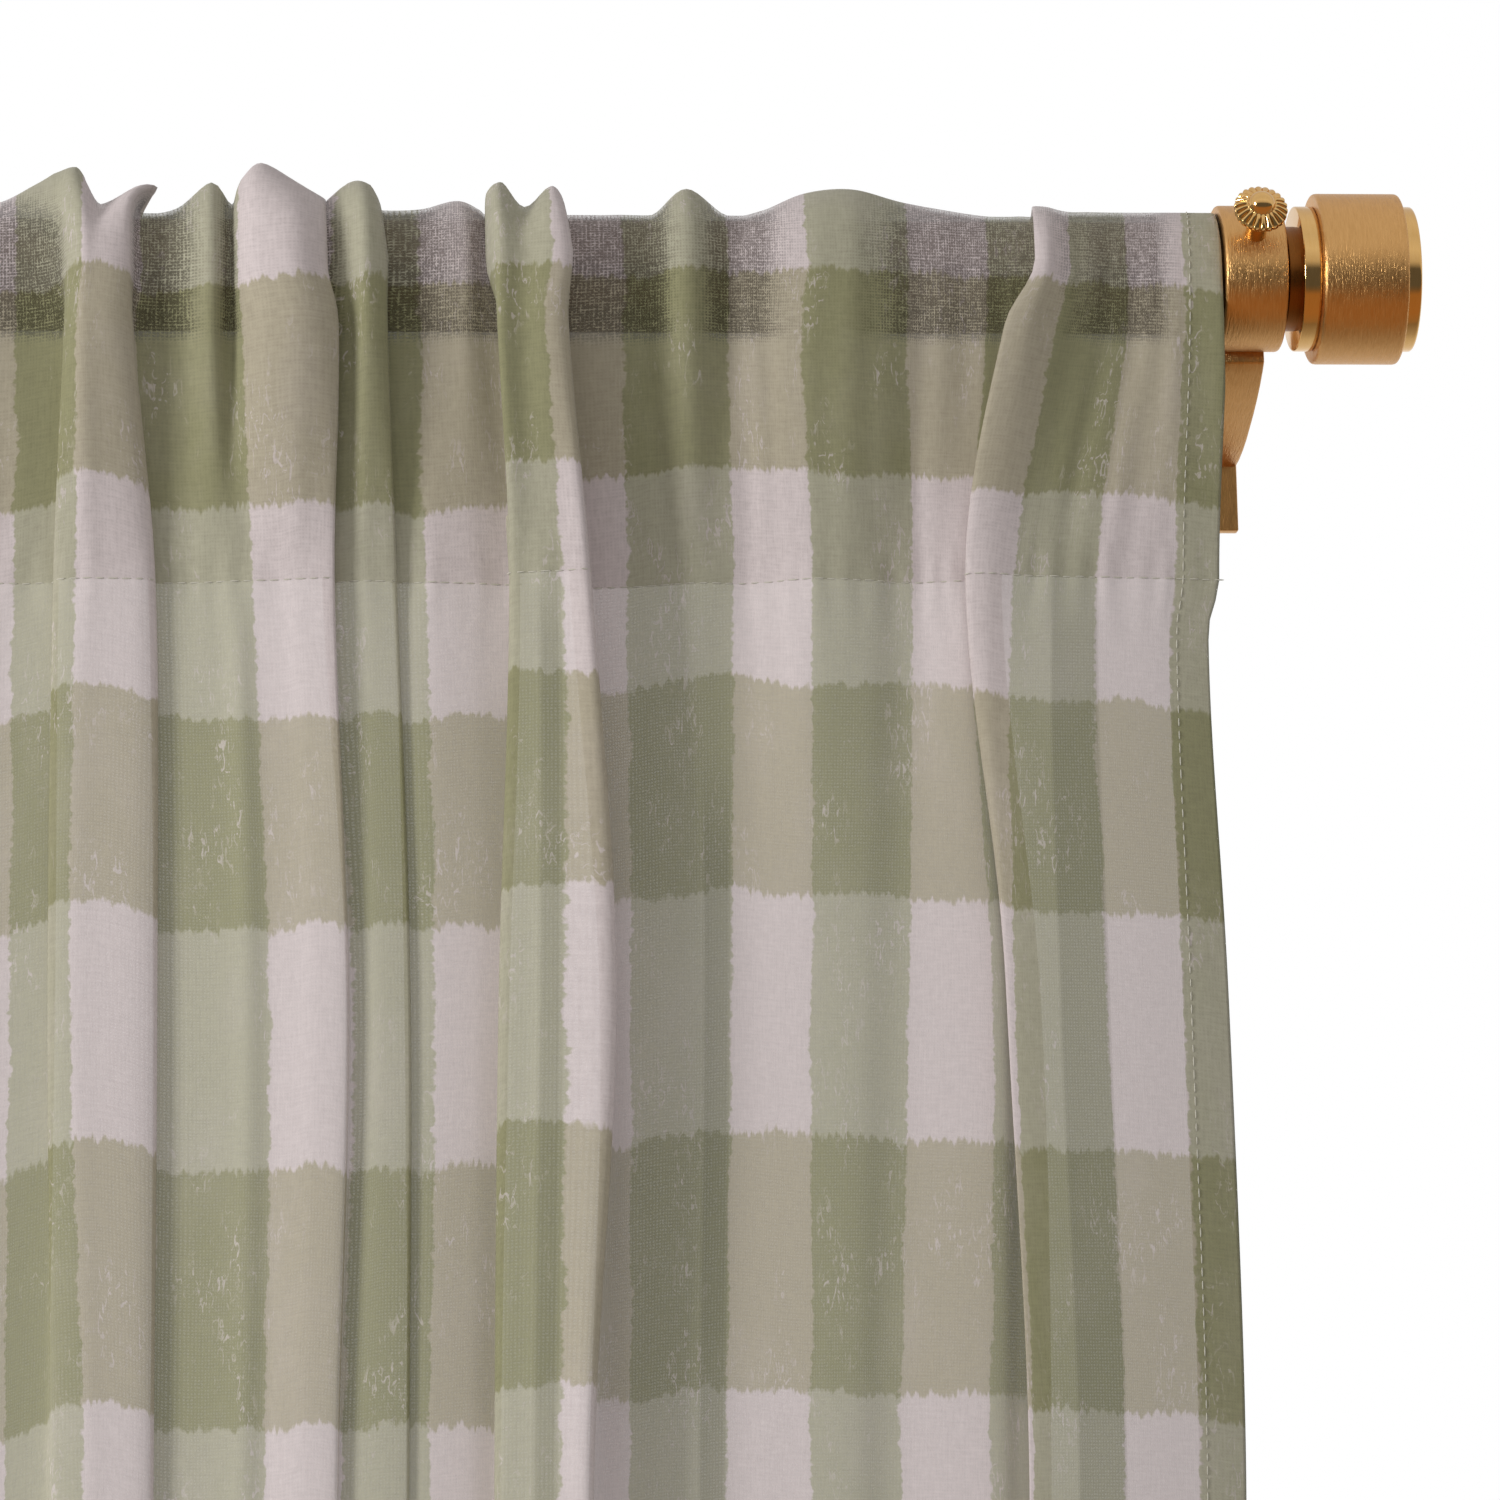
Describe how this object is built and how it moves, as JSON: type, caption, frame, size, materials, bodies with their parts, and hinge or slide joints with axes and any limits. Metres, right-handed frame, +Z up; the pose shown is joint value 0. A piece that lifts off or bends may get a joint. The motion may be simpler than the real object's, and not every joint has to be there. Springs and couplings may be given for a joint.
{
  "type": "sheer curtain on a curtain rod",
  "caption": "Sheer rod-pocket curtain panel in a sage and beige check, gathered on a brass rod with wall brackets, thumbscrews and turned finials.",
  "frame": {"origin": "centre of the right wall plate's flat back face", "axes": "+Z up, +X along the rod to the right as seen from the room, +Y into the wall"},
  "size_m": [0.9142, 0.0778, 2.1455],
  "materials": {
    "sheer_cloth": "semi-sheer plain weave, printed in a sage and beige check",
    "rod_brass": "brushed",
    "bracket_brass": "brushed",
    "screw_brass": "polished",
    "finial_brass": "brushed barrel, polished discs"
  },
  "bodies": {
    "root": {"curtain_panel": "sheer_cloth", "rod": "rod_brass", "bracket_right": "bracket_brass", "bracket_left": "bracket_brass", "thumbscrew_right": "screw_brass", "thumbscrew_left": "screw_brass", "finial_right": "finial_brass", "finial_left": "finial_brass"}
  },
  "joints": []
}
